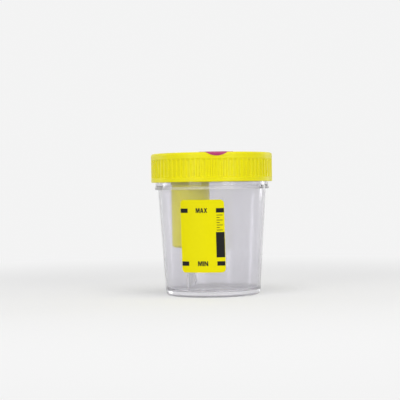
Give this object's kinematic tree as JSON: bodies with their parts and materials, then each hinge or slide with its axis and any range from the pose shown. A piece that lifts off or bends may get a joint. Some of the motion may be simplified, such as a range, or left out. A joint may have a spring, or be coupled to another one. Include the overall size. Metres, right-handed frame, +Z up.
{
  "type": "specimen container",
  "caption": "Screw-lid specimen cup with a transfer well, covered needle and dip straw built into the lid.",
  "frame": {"origin": "centre of the cup's foot, on the surface it stands on", "axes": "+Z up along the cup's axis, -Y towards the label side that the picture shows, +X to that view's right"},
  "size_m": [0.0654, 0.0655, 0.0762],
  "materials": {
    "cup_plastic": "translucent natural polypropylene, moulded gloss",
    "lid_plastic": "yellow moulded polyethylene, soft gloss",
    "hub_plastic": "natural moulded plastic",
    "needle_steel": "drawn and polished tube",
    "sleeve_rubber": "matt natural rubber",
    "straw_plastic": "translucent extruded plastic",
    "seal_film": "white coated film with a magenta printed tab",
    "label_film": "yellow printed film, satin"
  },
  "bodies": {
    "cup": {"cup": "cup_plastic", "level_label": "label_film"},
    "lid": {"lid": "lid_plastic", "needle_hub": "hub_plastic", "needle": "needle_steel", "needle_sleeve": "sleeve_rubber", "dip_straw": "straw_plastic", "seal_label": "seal_film"}
  },
  "joints": [
    {"name": "lid_lift", "type": "slide", "parent": "cup", "child": "lid", "axis": [0, 0, 1], "range_m": [0, 0.08]}
  ]
}
